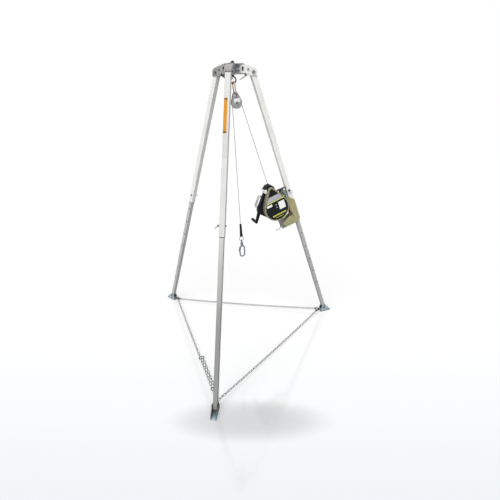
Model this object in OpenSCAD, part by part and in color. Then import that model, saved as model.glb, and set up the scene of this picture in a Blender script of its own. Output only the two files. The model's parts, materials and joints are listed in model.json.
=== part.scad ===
// Rescue tripod: three telescoping legs hinged to a steel and aluminium head,
// a foot chain, a pulley on a carabiner and a crank winch with its wire line.
// Z is up, the floor is Z = 0 and one leg points to -Y.

/* [Tripod] */
// Lean of every leg from the vertical
leg_angle = 20; // [16:0.5:23]
// Hinge bolt to foot pivot, along the leg
leg_length = 2660; // [2560:10:2800]
// Radius of the leg hinges about the axis of the tripod
hinge_radius = 170; // [166:1:185]
// Height of the foot pivots above the floor
foot_pivot_h = 60; // [54:1:70]

/* [Legs] */
// Side of the square upper tube
upper_w = 45; // [43:0.5:48]
// Side of the square lower tube
lower_w = 38; // [36:0.5:39]
// Wall of both tubes
tube_wall = 3; // [2:0.25:3]
// Hinge to the lock pin of a leg
pin_s = 1180; // [1160:5:1200]
// Height of the winch leg's pin above the other pins
pin_up = 92; // [84:1:100]
// Spacing of the adjusting holes
hole_pitch = 168; // [160:1:168]
// Tube left below the lock pin
tube_tail = 88; // [60:1:110]
// Diameter of the lock pins
pin_d = 12; // [10:0.5:14]
// Diameter of the wire of the pull rings
ring_wire = 3.2; // [2.5:0.1:4]

/* [Feet and chain] */
// Plate thickness of the foot shoes
shoe_t = 5; // [4:0.5:6]
// Reach of the toe in front of the foot pivot
toe_len = 92; // [80:1:110]
// Reach of the heel behind the foot pivot
heel_len = 34; // [30:1:40]
// Diameter of the foot pivot bolts
foot_bolt_d = 12; // [10:0.5:14]
// Diameter of the chain wire
chain_wire = 5; // [4:0.25:5.5]
// Wanted pitch of the chain links
chain_pitch = 36; // [34:0.5:44]
// Sag of each chain stretch
chain_sag = 16; // [6:1:20]

/* [Head] */
// Plate thickness of the head arms
arm_t = 5; // [4:0.5:6]
// Diameter of the leg hinge bolts
hinge_d = 14; // [12:0.5:16]
// Thickness of the top and bottom hub plates
hub_t = 8; // [6:0.5:12]
// Diameter of the eye bolt shank
eye_shank = 16; // [14:0.5:18]
// Diameter of the bar of the eye
eye_bar = 11; // [9:0.5:12]

/* [Pulley] */
// Diameter of the wire line
line_d = 4.8; // [4:0.2:5.5]
// Lean of the pulley towards the winch
hang_lean = 9; // [4:0.5:11]
// Lean of the hanging strand
drop_lean = 2.9; // [0:0.1:3.5]
// Radius of the sheave at the line
sheave_r = 38; // [34:1:42]
// Inner length of the carabiner
carabiner_len = 84; // [78:1:96]
// Length of the hanging strand below the sheave
drop_len = 1068; // [1000:4:1090]

/* [Winch] */
// Hinge to the drum axis, along the leg
winch_s = 1190; // [1180:1:1210]
// Leg axis to the drum axis
winch_in = 180; // [178:1:195]
// Radius of the winch housing
house_r = 130; // [124:0.5:131]
// Half of the housing's thickness
house_half = 48; // [46:1:56]
// Wall of the housing
house_wall = 5; // [4:0.5:5]
// Length of the crank arm
crank_len = 140; // [110:1:160]
// Length of the crank grip
grip_len = 104; // [80:1:120]

/* [Hidden] */
$fn = 48;
slide = 0.05;
gap = 0.5;
cut = 1;
hex_k = cos(30);
hinge_z = foot_pivot_h + leg_length * cos(leg_angle);
foot_radius = hinge_radius + leg_length * sin(leg_angle);
shoe_gap = 1.5;
shoe_w = lower_w + 2 * (shoe_t + shoe_gap);
reach = foot_radius + toe_len;
axis_y = (0.5 * reach - 0.433 * shoe_w) / 2;
az_front = -90;
az_right = 30;
az_left = 150;
tube_end = pin_s + tube_tail;
clamp_reach = 218;
tube_end_right = winch_s + clamp_reach;
tube_over = 24;
lower_top = pin_s - pin_up - tube_over;
heel_over = 22;
lower_end = leg_length + heel_over;
hole_last = 7;
pin_right = pin_s - pin_up;

module radial(az) translate([0, axis_y, 0]) rotate([0, 0, az]) children();
module at_hinge(az) radial(az) translate([hinge_radius, 0, hinge_z]) children();
module leg(az) at_hinge(az) rotate([0, -leg_angle, 0]) children();
module at_foot(az) radial(az) translate([foot_radius, 0, 0]) children();
module winch() leg(az_right) translate([-winch_in, 0, -winch_s]) children();
module hang() radial(az_right) translate([0, 0, eye_z]) rotate([0, -hang_lean, 0]) children();

// A flat outline in X and Z, thickened along Y from y0 to y1
module slab(y0, y1) translate([0, y1, 0]) rotate([90, 0, 0]) linear_extrude(y1 - y0) children();
// A round bar along Y
module bar_y(d, y0, y1) translate([0, y1, 0]) rotate([90, 0, 0]) cylinder(d = d, h = y1 - y0);
// A ring whose axis is Y
module ring_y(r, bar) rotate([90, 0, 0]) rotate_extrude() translate([r, 0]) circle(d = bar);
// A hexagon head along Y
module hex_y(af, y0, y1) translate([0, y1, 0]) rotate([90, 0, 0])
  cylinder(d = af / hex_k, h = y1 - y0, $fn = 6);

function arc(cx, cz, r, a0, a1, n) = [for (i = [0:n]) let (a = a0 + (a1 - a0) * i / n)
  [cx + r * cos(a), cz + r * sin(a)]];
function rounded(w, h, r) = concat(
  arc(w / 2 - r, h / 2 - r, r, 0, 90, 4), arc(r - w / 2, h / 2 - r, r, 90, 180, 4),
  arc(r - w / 2, r - h / 2, r, 180, 270, 4), arc(w / 2 - r, r - h / 2, r, 270, 360, 4));

// Circles joined by straight sides, each entry a centre and a radius
seat = 0.05;
module side_pair(p, r1, q, r2) {
  d = q - p;
  turn = atan2(d[1], d[0]);
  side = acos((r1 - r2) / norm(d));
  u = [cos(turn + side), sin(turn + side)];
  v = [cos(turn - side), sin(turn - side)];
  polygon([p + (r1 - seat) * u, q + (r2 - seat) * u, q + (r2 - seat) * v, p + (r1 - seat) * v]);
}
module limb(path) union() {
  for (c = path) translate(c[0]) circle(r = c[1]);
  for (i = [1:len(path) - 1]) side_pair(path[i - 1][0], path[i - 1][1], path[i][0], path[i][1]);
}
module pear(p, r1, q, r2) limb([[p, r1], [q, r2]]);

// Head: three bent arms, two hub plates, corner brackets and bolts
arm_play = 1;
arm_in = upper_w + 2 * arm_play;
arm_w = arm_in + 2 * arm_t;
arm_root = 24;
arm_r0 = arm_root - hinge_radius;
arm_top = 50;
arm_low = -28;
hub_low = -10;
stop_z = 5;
stop_gap = 0.6;
arm_stop = upper_w / 2 / cos(leg_angle) + stop_z * tan(leg_angle) + stop_gap;
arm_end = arm_stop + arm_t;
crown_gap = 1.5;
crown = upper_w / 2 + arm_t + crown_gap;
knee = -60;
skirt = [-56, -66];
arm_path = [[arm_r0, arm_top], [knee, arm_top], [0.31 * crown, 1.105 * crown], [arm_end, 0.33 * crown],
  [arm_end, -stop_z]];
arm_skirt = [[arm_end, arm_low], [skirt[0], arm_low], [skirt[1], hub_low], [arm_r0, hub_low]];
arm_slot = [-103, 6, 16, 30];
bolt_d = 8;
bolt_af = 13;
bolt_in = 16;
bolt_pos = [[arm_r0 + bolt_in, 34], [arm_r0 + bolt_in, 8], [-48, 18]];
hub_r = 92;
hub_core = 66;
hub_bolt_r = 78;
anchor_d = 22;
anchor_r = 48;
latch_at = [-48, 0, -12];
latch_pin = 6;
eye_r = 25;
eye_low = 42;
eye_z = hinge_z + hub_low - hub_t - eye_low;

// The corner of an outline where its two sides have moved in by t
function side_n(p, q) = let (d = (q - p) / norm(q - p)) [-d[1], d[0]];
function inset(path, t) = [for (i = [1:len(path) - 2]) let (a = side_n(path[i - 1], path[i]),
  b = side_n(path[i], path[i + 1])) path[i] - t * (a + b) / (1 + a * b)];

module head_arm(az) color("Silver") at_hinge(az) difference() {
  slab(-arm_w / 2, arm_w / 2) polygon(concat(arm_path, arm_skirt));
  slab(-arm_in / 2, arm_in / 2) polygon(concat([[arm_r0 - cut, arm_top - arm_t]], inset(arm_path, arm_t),
    [[arm_stop, -stop_z - cut], [arm_end + cut, -stop_z - cut], [arm_end + cut, arm_low - cut],
    [arm_r0 - cut, arm_low - cut]]));
  slab(-arm_w, arm_w) translate([arm_slot[0], arm_slot[1]]) square([arm_slot[2], arm_slot[3]]);
  bar_y(hinge_d + 2 * slide, -arm_w, arm_w);
  translate(latch_at) bar_y(latch_pin + 2 * slide, -arm_w, arm_w);
  translate([hub_bolt_r - hinge_radius, 0, arm_top - 2 * arm_t])
    cylinder(d = bolt_d + 2 * slide, h = 3 * arm_t);
  for (b = bolt_pos) translate([b[0], 0, b[1]]) bar_y(bolt_d + 2 * slide, -arm_w, arm_w);
}
module head_arm_front() head_arm(az_front);
module head_arm_left() head_arm(az_left);
module head_arm_right() head_arm(az_right);

module hub_outline() union() {
  circle(r = hub_core);
  for (a = [az_front, az_left, az_right]) rotate(a) translate([0, -arm_w / 2]) square([hub_r, arm_w]);
}
module hub_plate(z, turn, r, hole) translate([0, axis_y, hinge_z + z]) difference() {
  linear_extrude(hub_t) hub_outline();
  translate([0, 0, -cut]) cylinder(d = eye_shank + 2 * slide, h = hub_t + 2 * cut);
  for (a = [az_front, az_left, az_right]) rotate(a + turn) translate([r, 0, -cut])
    cylinder(d = hole, h = hub_t + 2 * cut);
}
module hub_top_plate() color("Silver") hub_plate(arm_top, 0, hub_bolt_r, bolt_d + 2 * slide);
module hub_bottom_plate() color("Silver") hub_plate(hub_low - hub_t, 60, anchor_r, anchor_d);

brk_t = 5;
brk_len = 42;
brk_r = (arm_w / 2) / sin(60);
brk_end = brk_len * [cos(60), sin(60)];
brk_tip = brk_end + brk_t * [sin(60), -cos(60)];
module hub_brackets() color("LightSlateGray") for (a = [az_front, az_left, az_right]) radial(a + 60)
  translate([brk_r, 0, hinge_z + hub_low]) difference() {
    linear_extrude(arm_top - hub_low) polygon([[0, 0], brk_end, brk_tip, [brk_t / sin(60), 0],
      [brk_tip[0], -brk_tip[1]], [brk_end[0], -brk_end[1]]]);
    for (s = [-1, 1]) rotate([0, 0, s * 60]) for (i = [0, 1])
      translate([bolt_pos[i][0] + hinge_radius - brk_r * cos(60), 0, bolt_pos[i][1] - hub_low])
        bar_y(bolt_d + 2 * slide, -2 * brk_t, 2 * brk_t);
  }

// A hex bolt along Y with its nut, whose heights follow its diameter
head_k = 0.65;
nut_k = 0.7;
tip_k = 0.6;
tip = 2;
module hex_bolt(len, d, af) {
  bar_y(d, -len / 2 - cut, len / 2 + tip_k * d + tip);
  hex_y(af, -len / 2 - head_k * d, -len / 2);
  hex_y(af, len / 2, len / 2 + nut_k * d);
}
hub_head = 5;
hub_nut = 7;
module hub_bolts() color("DimGray") {
  for (a = [az_front, az_left, az_right]) at_hinge(a) {
    for (i = [0, 1]) translate([bolt_pos[i][0], 0, bolt_pos[i][1]])
      hex_bolt(arm_w + 2 * brk_t, bolt_d, bolt_af);
    translate([bolt_pos[2][0], 0, bolt_pos[2][1]]) hex_bolt(arm_w, bolt_d, bolt_af);
  }
  for (a = [az_front, az_left, az_right]) radial(a) translate([hub_bolt_r, 0, hinge_z + arm_top]) {
    translate([0, 0, hub_t]) cylinder(d = bolt_af / hex_k, h = hub_head, $fn = 6);
    translate([0, 0, -arm_t - hub_nut - cut]) cylinder(d = bolt_d, h = hub_t + arm_t + hub_nut + 2 * cut);
    translate([0, 0, -arm_t - hub_nut]) cylinder(d = bolt_af / hex_k, h = hub_nut, $fn = 6);
  }
}
hinge_af = 22;
module leg_hinge_bolts() color("DimGray") for (a = [az_front, az_left, az_right]) at_hinge(a)
  hex_bolt(arm_w, hinge_d, hinge_af);

hub_top = hinge_z + arm_top + hub_t;
stud_h = 20;
collar_h = 8;
collar_w = 12;
washer_t = 3;
nut_h = 14;
module eye_bolt() color("DimGray") radial(az_right) {
  translate([0, 0, eye_z]) ring_y(eye_r, eye_bar);
  translate([0, 0, eye_z + eye_r]) cylinder(d = eye_shank, h = hub_top + stud_h - eye_z - eye_r);
  translate([0, 0, hinge_z + hub_low - hub_t - collar_h]) cylinder(d = eye_shank + collar_w, h = collar_h);
  translate([0, 0, hub_top]) cylinder(d = 2 * eye_shank + 2, h = washer_t);
  translate([0, 0, hub_top + washer_t]) cylinder(d = 1.5 * eye_shank / hex_k, h = nut_h, $fn = 6);
}

// Legs: upper tube with its hinge block, bush, lower tube, pin and latch
corner = 3;
inner_corner = 1;
module tube(w, s0, s1) translate([0, 0, -s1]) linear_extrude(s1 - s0) difference() {
  polygon(rounded(w, w, corner));
  polygon(rounded(w - 2 * tube_wall, w - 2 * tube_wall, inner_corner));
}
plug_s = 34;
plug_lap = 10;
module upper_leg(az, pin, end) color("Gainsboro") leg(az) difference() {
  union() {
    tube(upper_w, plug_s - plug_lap, end);
    slab(-upper_w / 2, upper_w / 2) union() {
      circle(d = upper_w);
      translate([-upper_w / 2, -plug_s]) square([upper_w, plug_s]);
    }
  }
  bar_y(hinge_d + 2 * slide, -upper_w, upper_w);
  translate([0, 0, -pin]) bar_y(pin_d + 2 * slide, -upper_w, upper_w);
}
module upper_leg_front() upper_leg(az_front, pin_s, tube_end);
module upper_leg_left() upper_leg(az_left, pin_s, tube_end);
module upper_leg_right() upper_leg(az_right, pin_right, tube_end_right);

bush_t = 4;
bush_play = 0.3;
module glide_bush(az, end) color("DimGray") leg(az) translate([0, 0, -end - bush_t]) linear_extrude(bush_t)
  difference() {
    polygon(rounded(upper_w, upper_w, corner));
    polygon(rounded(lower_w + 2 * bush_play, lower_w + 2 * bush_play, inner_corner));
  }
module glide_bush_front() glide_bush(az_front, tube_end);
module glide_bush_left() glide_bush(az_left, tube_end);
module glide_bush_right() glide_bush(az_right, tube_end_right);

module lower_leg(az, pin) color("WhiteSmoke") leg(az) difference() {
  tube(lower_w, lower_top, lower_end);
  for (i = [0:hole_last]) translate([0, 0, -pin - i * hole_pitch]) bar_y(pin_d + 2 * gap, -lower_w, lower_w);
  translate([0, 0, -leg_length]) bar_y(foot_bolt_d + 2 * slide, -lower_w, lower_w);
}
module lower_leg_front() lower_leg(az_front, pin_s);
module lower_leg_left() lower_leg(az_left, pin_s);
module lower_leg_right() lower_leg(az_right, pin_right);

pull_r = 17;
pull_tilt = -35;
pin_tip = 10;
knob_y = [-upper_w / 2 - 11, -upper_w / 2 - 1];
knob_w = 8;
lug_y = -upper_w / 2 - 17;
lug_r = 7;
lug_t = 4;
lug_play = 0.7;
module lock_pin(az, s) color("Silver") leg(az) translate([0, 0, -s]) {
  difference() {
    union() {
      bar_y(pin_d, knob_y[0] + 5, upper_w / 2 + pin_tip);
      bar_y(pin_d + knob_w, knob_y[0], knob_y[1]);
      translate([-lug_t / 2, lug_y, 0]) rotate([0, 90, 0]) cylinder(r = lug_r, h = lug_t);
    }
    translate([-lug_t, lug_y, 0]) rotate([0, 90, 0]) cylinder(d = ring_wire + 2 * lug_play, h = 2 * lug_t);
  }
  translate([0, lug_y, 0]) rotate([pull_tilt, 0, 0]) translate([0, 0, -pull_r]) ring_y(pull_r, ring_wire);
}
module lock_pin_front() lock_pin(az_front, pin_s);
module lock_pin_left() lock_pin(az_left, pin_s);
module lock_pin_right() lock_pin(az_right, pin_right);

latch_w = 24;
latch_path = [[[22, 6], 3], [[0, 0], 8], [[-12, -18], 3.5], [[-58, -44], 3.5]];
module leg_latch(az) color("LightGray") at_hinge(az) translate(latch_at) {
  slab(-latch_w / 2, latch_w / 2) limb(latch_path);
  bar_y(latch_pin, -arm_w / 2 - tip, arm_w / 2 + tip);
}
module leg_latch_front() leg_latch(az_front);
module leg_latch_left() leg_latch(az_left);
module leg_latch_right() leg_latch(az_right);

// Feet: bent shoe with two cheeks, toe and chain ring, on a pivot bolt
ring_in = 56;
ring_h = 36;
ring_mean = 17;
ring_bar = 8;
toe_lip = 4;
cheek_top = [-22, 24, 20];
heel_drop = 4;
heel_up = 6;
bore_gap = 0.1;
module foot(az) color("SlateGray") at_foot(az) {
  difference() {
    slab(-shoe_w / 2, shoe_w / 2) polygon([[-heel_len, 0], [toe_len, 0], [toe_len, shoe_t + toe_lip],
      [cheek_top[1], foot_pivot_h + cheek_top[2]], [cheek_top[0], foot_pivot_h + cheek_top[2]],
      [-heel_len, foot_pivot_h - heel_drop]]);
    slab(shoe_t - shoe_w / 2, shoe_w / 2 - shoe_t) translate([-heel_len - cut, shoe_t])
      square([heel_len + toe_len + 2 * cut, foot_pivot_h + cheek_top[2]]);
    translate([0, 0, foot_pivot_h]) bar_y(foot_bolt_d + bore_gap, -shoe_w, shoe_w);
  }
  translate([-ring_in, 0, ring_h]) ring_y(ring_mean, ring_bar);
  translate([-heel_len - shoe_t, 0, 0]) slab(-shoe_w / 2, shoe_w / 2)
    square([shoe_t + cut, ring_h + heel_up]);
}
module foot_front() foot(az_front);
module foot_left() foot(az_left);
module foot_right() foot(az_right);

foot_af = 19;
foot_head = 8;
foot_nut = 9;
foot_play = 0.4;
module foot_bolt(az) color("DimGray") at_foot(az) translate([0, 0, foot_pivot_h]) {
  bar_y(foot_bolt_d, -shoe_w / 2 - shoe_gap, shoe_w / 2 + foot_head);
  hex_y(foot_af, -shoe_w / 2 - foot_head, -shoe_w / 2 - foot_play);
  hex_y(foot_af, shoe_w / 2 + foot_play, shoe_w / 2 + foot_nut);
}
module foot_bolt_front() foot_bolt(az_front);
module foot_bolt_left() foot_bolt(az_left);
module foot_bolt_right() foot_bolt(az_right);

// Chain: alternate flat and upright links from ring to ring
bow_in = 5.5;
bow_r = chain_wire / 2 + bow_in;
wire_fn = 20;
tie_h = 7.5;
hook_radius = foot_radius - ring_in - sqrt(ring_mean * ring_mean - tie_h * tie_h);
hook_slack = 1.2;
hook_back = ring_bar / 2 + hook_slack;
run_len = 2 * hook_radius * sin(60) + 2 * hook_back;
run_n = 2 * floor(run_len / chain_pitch / 2) + 1;
run_pitch = run_len / run_n;
link_in = run_pitch + gap;
link_straight = link_in + chain_wire - 2 * bow_r;
tail_from = 4;
tail_n = 13;
tail_gap = 2;
tail_off = 2 * bow_r + chain_wire + tail_gap;
tie_wire = chain_wire + 1;
tie_r = bow_r + chain_wire + 1.5;

module bow() rotate([0, 0, -90]) rotate_extrude(angle = 180) translate([bow_r, 0])
  circle(d = chain_wire, $fn = wire_fn);
module link() union() {
  translate([link_straight / 2, 0, 0]) bow();
  rotate([0, 0, 180]) translate([link_straight / 2, 0, 0]) bow();
  for (s = [-1, 1]) translate([-link_straight / 2, s * bow_r, 0]) rotate([0, 90, 0])
    cylinder(d = chain_wire, h = link_straight, $fn = wire_fn);
}
function sag(i) = let (t = (i + 0.5) / run_n) tie_h * (1 - 2 * t) - 4 * chain_sag * t * (1 - t);
module chain_run(az, from, to) radial(az) translate([hook_radius, 0, ring_h]) rotate([0, 0, 150])
  for (i = [from:to]) translate([(i + 0.5) * run_pitch - hook_back, 0, sag(i)])
    rotate([0, -atan2(sag(i + 0.5) - sag(i - 0.5), run_pitch), 0]) rotate([i % 2 * 90, 0, 0]) link();
module chain_at(az, before) color("Silver") {
  chain_run(az, 0, (run_n - 1) / 2);
  chain_run(before, (run_n + 1) / 2, run_n - 1);
}
module chain_front() chain_at(az_front, az_left);
module chain_left() chain_at(az_left, az_right);
module chain_right() chain_at(az_right, az_front);

// Spare end of the chain beside the front stretch, held by two oval rings
module tie_ring() rotate([0, 90, 0]) rotate([0, 0, 90]) union() for (s = [-1, 1]) {
  translate([s * tail_off / 2, 0, 0]) rotate([0, 0, s * -90]) rotate_extrude(angle = 180)
    translate([tie_r, 0]) circle(d = tie_wire, $fn = wire_fn);
  translate([-tail_off / 2, s * tie_r, 0]) rotate([0, 90, 0])
    cylinder(d = tie_wire, h = tail_off, $fn = wire_fn);
}
module chain_tail() color("DimGray") radial(az_left) translate([hook_radius, 0, ring_h]) rotate([0, 0, 150]) {
  for (i = [0:tail_n - 1]) let (k = run_n - 1 - tail_from - i) translate([(k + 0.5) * run_pitch - hook_back,
    tail_off, sag(k)]) rotate([0, -atan2(sag(k + 0.5) - sag(k - 0.5), run_pitch), 0])
    rotate([k % 2 * 90, 0, 0]) link();
  for (k = [run_n - 1 - tail_from, run_n - tail_from - tail_n]) translate([(k + 0.5) * run_pitch - hook_back,
    tail_off / 2, sag(k)]) tie_ring();
}

// Carabiner through the eye bolt and the pulley's top hole
car_bar = 11;
car_r = 26;
car_top = -(eye_r - eye_bar / 2) + gap + car_bar;
car_low = car_top - carabiner_len - 2 * car_bar;
car_c1 = car_top - car_bar / 2 - car_r;
car_c2 = car_low + car_bar / 2 + car_r;
gate_in = 4;
gate_top = car_c1 - gate_in;
gate_low = car_c2 + gate_in;
module bow_bar(r, a0, a1, bar) rotate([0, 0, a0]) rotate_extrude(angle = a1 - a0)
  translate([r, 0]) circle(d = bar);
module rod(p, q, d) let (v = q - p) translate(p) rotate([0, acos(v[2] / norm(v)), atan2(v[1], v[0])])
  cylinder(d = d, h = norm(v));
module carabiner_frame() hang() rotate([0, 0, 90]) children();
rivet_d = 4;
rivet_up = 6;
rivet_z = gate_low + rivet_up;
tongue = 5;
fork_gap = 0.4;
fork_t = 2.2;
fork_h = 12;
fork_low = 2;
fork_side = 1;
fork_y = tongue / 2 + fork_gap;
tongue_up = 2.5;
sleeve_w = 4;
sleeve_top = 12;
module carabiner_body() color("Goldenrod") carabiner_frame() {
  translate([0, 0, car_c1]) rotate([90, 0, 0]) bow_bar(car_r, 0, 180, car_bar);
  translate([0, 0, car_c2]) rotate([90, 0, 0]) bow_bar(car_r, 180, 360, car_bar);
  translate([-car_r, 0, car_c2]) cylinder(d = car_bar, h = car_c1 - car_c2);
  translate([car_r, 0, gate_top]) cylinder(d = car_bar, h = car_c1 - gate_top);
  translate([car_r, 0, car_c2]) cylinder(d = car_bar, h = gate_low - car_c2);
  translate([car_r, 0, gate_low - fork_low]) for (y = [-fork_y - fork_t, fork_y]) slab(y, y + fork_t)
    translate([fork_side - car_bar / 2, 0]) square([car_bar - 2 * fork_side, fork_h]);
  translate([car_r, 0, rivet_z]) bar_y(rivet_d, -fork_y - fork_t - cut, fork_y + fork_t + cut);
}
module carabiner_gate() color("Goldenrod") carabiner_frame() translate([car_r, 0, 0]) difference() {
  union() {
    translate([0, 0, gate_low + fork_h]) {
      cylinder(d = car_bar - 2 * gap, h = gate_top - gate_low - fork_h - gap);
      cylinder(d = car_bar + sleeve_w, h = gate_top - gate_low - fork_h - sleeve_top);
    }
    translate([fork_side - car_bar / 2, 0, gate_low + tongue_up]) slab(-tongue / 2, tongue / 2)
      square([car_bar - 2 * fork_side, fork_h]);
  }
  translate([0, 0, rivet_z]) bar_y(rivet_d + 2 * slide, -car_bar, car_bar);
}

// Pulley: two pear cheeks, grooved sheave and axle
hole_rest = 0.6;
hole_z = car_low + car_bar / 2 - hole_rest;
pulley_len = 64;
sheave_z = hole_z - pulley_len;
cheek_t = 4;
sheave_half = 8;
cheek_hole = 2 * car_bar + gap;
cheek_rim = 8;
cheek_eye = 21;
axle_d = 12;
axle_head = 20;
axle_h = 2;
axle_y = sheave_half + gap + cheek_t + axle_h;
module pulley_cheeks() color("Gray") hang() for (s = [-1, 1])
  translate([0, s * (sheave_half + gap + cheek_t / 2), 0])
  difference() {
    slab(-cheek_t / 2, cheek_t / 2) pear([0, sheave_z], sheave_r + cheek_rim, [0, hole_z], cheek_eye);
    translate([0, 0, hole_z]) bar_y(cheek_hole, -cheek_t, cheek_t);
    translate([0, 0, sheave_z]) bar_y(axle_d, -cheek_t, cheek_t);
  }
module pulley_axle() color("DimGray") hang() translate([0, 0, sheave_z]) {
  bar_y(axle_d, -axle_y, axle_y);
  for (s = [-1, 1]) translate([0, s * axle_y, 0]) bar_y(axle_head, -axle_h, axle_h);
}
groove_gap = 0.3;
groove_r = sheave_r - line_d / 2 - groove_gap;
groove_y = line_d / 2 + groove_gap;
rim_r = sheave_r + 5;
rim_y = sheave_half - 2;
bore_r = axle_d / 2 + slide;
module pulley_sheave() color("Silver") hang() translate([0, 0, sheave_z]) rotate([90, 0, 0]) rotate_extrude()
  polygon([[bore_r, -sheave_half], [rim_r, -sheave_half], [rim_r, -rim_y], [groove_r, -groove_y],
    [groove_r, groove_y], [rim_r, rim_y], [rim_r, sheave_half], [bore_r, sheave_half]]);

// Wire line: hanging strand, turn over the sheave and run to the winch
function to_line(p) = [hinge_radius + p[0] * cos(leg_angle) - p[1] * sin(leg_angle),
  hinge_z + p[0] * sin(leg_angle) + p[1] * cos(leg_angle)];
nose = [0, 186];
nose_r = 34;
guide_h = 24;
guide_sink = 6;
guide_top = nose_r + guide_h - guide_sink;
outlet_local = nose + [0, guide_top];
outlet = to_line(outlet_local + [-winch_in, -winch_s]);
sheave_c = [-sheave_z * sin(hang_lean), eye_z + sheave_z * cos(hang_lean)];
out_v = outlet - sheave_c;
run_a = atan2(out_v[1], out_v[0]) + acos(sheave_r / norm(out_v));
run_p = sheave_c + sheave_r * [cos(run_a), sin(run_a)];
drop_a = 180 + drop_lean;
drop_p = sheave_c + sheave_r * [cos(drop_a), sin(drop_a)];
drop_v = [sin(drop_lean), -cos(drop_lean)];
drop_q = drop_p + drop_len * drop_v;
run_in = 46;
run_v = (outlet - run_p) / norm(outlet - run_p);
run_q = outlet + run_in * run_v;
module strand(p, q) radial(az_right) rod([p[0], 0, p[1]], [q[0], 0, q[1]], line_d);
splice = 0.2;
module lifeline_run() color("LightGray") {
  strand(run_p + splice * run_v, run_q);
  radial(az_right) translate([run_p[0], 0, run_p[1]]) sphere(d = line_d + splice);
  radial(az_right) translate([sheave_c[0], 0, sheave_c[1]]) rotate([90, 0, 0])
    bow_bar(sheave_r, run_a, drop_a, line_d);
}
module lifeline_drop() color("LightGray") strand(drop_p, drop_q);

// Hook end: sleeve with its thimble, swivel eye, snap hook and gate
sleeve_len = 139;
thimble_r = 22;
thimble_bar = 6;
thimble_gap = 1;
thimble_z = -sleeve_len - thimble_r - thimble_gap;
sleeve_lip = 12;
sleeve_side = [[0, 0], [13, 0], [11, 22], [9, 40], [8, 60], [7.5, sleeve_len], [6, sleeve_len + sleeve_lip],
  [0, sleeve_len + sleeve_lip]];
sleeve_bore = 40;
swivel_r = 11.5;
swivel_bar = 8;
swivel_z = thimble_z - thimble_r + thimble_bar / 2 + gap + swivel_bar / 2 - swivel_r;
neck_d = 11;
neck_len = 26;
neck_end = swivel_z - swivel_r - neck_len;
neck_head = 4;
neck_lip = 5;
neck_lap = 2;
cup_gap = 1;
cup_top = swivel_z - swivel_r - swivel_bar / 2 - cup_gap;
cup_floor = 18;
cup_low = neck_end - cup_floor;
cup_w = [30, 24];
hook_bar = 14;
hook_r = 24;
hook_lap = 4;
hook_top = cup_low - hook_r + hook_lap;
hook_len = 66;
hook_z = hook_top - hook_len;
tip_h = 26;
tip_z = hook_z + tip_h;
gate_p = [-12, 0, hook_top + 14];
gate_d = 8;
gate_hub = 10;
gate_half = 8;
gate_gap = 4;
module at_hook() radial(az_right) translate([drop_q[0], 0, drop_q[1]]) rotate([0, -drop_lean, 0]) children();
module line_ferrule() color("DimGray") at_hook() {
  difference() {
    translate([0, 0, -sleeve_len]) rotate_extrude() polygon(sleeve_side);
    translate([0, 0, -gap]) cylinder(d = line_d + 2 * slide, h = sleeve_bore);
  }
  translate([0, 0, thimble_z]) ring_y(thimble_r, thimble_bar);
}
module hook_swivel() color("LightSteelBlue") at_hook() {
  translate([0, 0, swivel_z]) rotate([0, 0, 90]) ring_y(swivel_r, swivel_bar);
  translate([0, 0, neck_end]) cylinder(d = neck_d, h = neck_len - neck_lap);
  translate([0, 0, neck_end]) cylinder(d = neck_d + neck_lip, h = neck_head);
}
module snap_hook() color("LightSteelBlue") at_hook() union() {
  translate([0, 0, cup_low]) difference() {
    cylinder(d1 = cup_w[0], d2 = cup_w[1], h = cup_top - cup_low);
    translate([0, 0, cup_floor - gap]) cylinder(d = neck_d + neck_lip + 2 * gap, h = neck_head + 2 * gap);
    translate([0, 0, cup_floor + neck_lap]) cylinder(d = neck_d + 2 * slide, h = cup_top - cup_low);
  }
  translate([0, 0, hook_top]) rotate([90, 0, 0]) bow_bar(hook_r, 0, 90, hook_bar);
  translate([hook_r, 0, hook_z]) cylinder(d = hook_bar, h = hook_top - hook_z);
  translate([0, 0, hook_z]) rotate([90, 0, 0]) bow_bar(hook_r, 180, 360, hook_bar);
  translate([-hook_r, 0, hook_z]) cylinder(d = hook_bar, h = tip_z - hook_z);
}
module hook_gate() color("LightSteelBlue") at_hook() {
  rod([-hook_r, 0, tip_z + gate_gap], gate_p, gate_d);
  translate(gate_p) bar_y(gate_hub, -gate_half, gate_half);
}

// Winch: bracket on the leg, two housing halves and the face plate
cheek_in = upper_w / 2;
bracket_t = 5;
top_pin = [114, 108];
low_pin = [14, -220];
t_bar = [-80, 24];
mount_d = 10;
clamp_z = [-50, -190];
back_x = winch_in + upper_w / 2;
hug_gap = 5;
hug = house_r + hug_gap;
cheek_y = cheek_in + bracket_t;
bracket_side = [[winch_in - 18, 31], [back_x + bracket_t, -10], [back_x + bracket_t, -227],
  [winch_in - 6, -252],
  [-6, -246], [-2, -200], [126, -140], [hug, -40], [hug, 48], [hug - 4, 64], [hug - 36, 100], [hug - 44, 122],
  [hug - 28, 132], [hug + 6, 126], [hug + 16, 80]];
module winch_bracket() color("DarkGoldenrod") winch() difference() {
  slab(-cheek_y, cheek_y) polygon(bracket_side);
  slab(-cheek_in, cheek_in) translate([-winch_in, -2 * winch_in]) square([back_x + winch_in, 3 * winch_in]);
  mount_holes();
  for (z = clamp_z) translate([back_x - cut, 0, z]) rotate([0, 90, 0])
    cylinder(d = bolt_d + 2 * slide, h = bracket_t + 2 * cut);
}
mount_head = [8, 14];
mount_tip = 8;
t_bar_d = 7;
t_bar_y = 9;
clamp_head = 6;
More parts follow.
